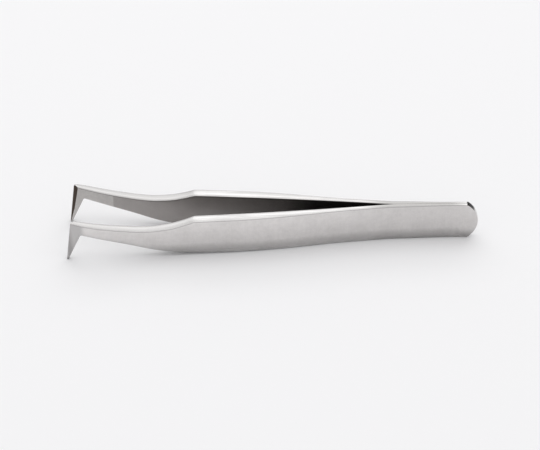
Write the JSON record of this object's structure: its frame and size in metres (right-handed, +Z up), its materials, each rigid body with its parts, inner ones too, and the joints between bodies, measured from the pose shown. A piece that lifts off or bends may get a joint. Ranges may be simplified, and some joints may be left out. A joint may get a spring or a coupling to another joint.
{
  "type": "stamp tongs",
  "caption": "Sprung steel tongs: flat arms welded together at the heel and bowed apart, narrowing to pointed beak tips bent down at a right angle.",
  "frame": {"origin": "middle of the footprint, on the surface that the tongs stand on", "axes": "+X along the tongs towards the heel, so the tips are at -X; +Z up, away from the long lower edges; the front arm is at -Y and the back arm at +Y"},
  "size_m": [0.118, 0.0202, 0.0126],
  "materials": {
    "satin_steel": "satin stainless steel, fine matt faces with brighter polished edges",
    "weld_steel": "fused steel, hidden in the seam"
  },
  "bodies": {
    "heel": {"front_arm_heel": "satin_steel", "back_arm_heel": "satin_steel", "weld_nugget_1": "weld_steel", "weld_nugget_2": "weld_steel"},
    "front_arm": {"front_arm_blade": "satin_steel"},
    "back_arm": {"back_arm_blade": "satin_steel"}
  },
  "joints": [
    {"name": "front_arm_flex", "type": "hinge", "parent": "heel", "child": "front_arm", "pos_m": [0.022, -0.00206, 0.0058], "axis": [0, 0, -1], "range_deg": [-2, 5.86], "stiffness_Nm_per_rad": 1},
    {"name": "back_arm_flex", "type": "hinge", "parent": "heel", "child": "back_arm", "pos_m": [0.022, 0.00206, 0.0058], "axis": [0, 0, 1], "range_deg": [-2, 5.86], "stiffness_Nm_per_rad": 1}
  ]
}
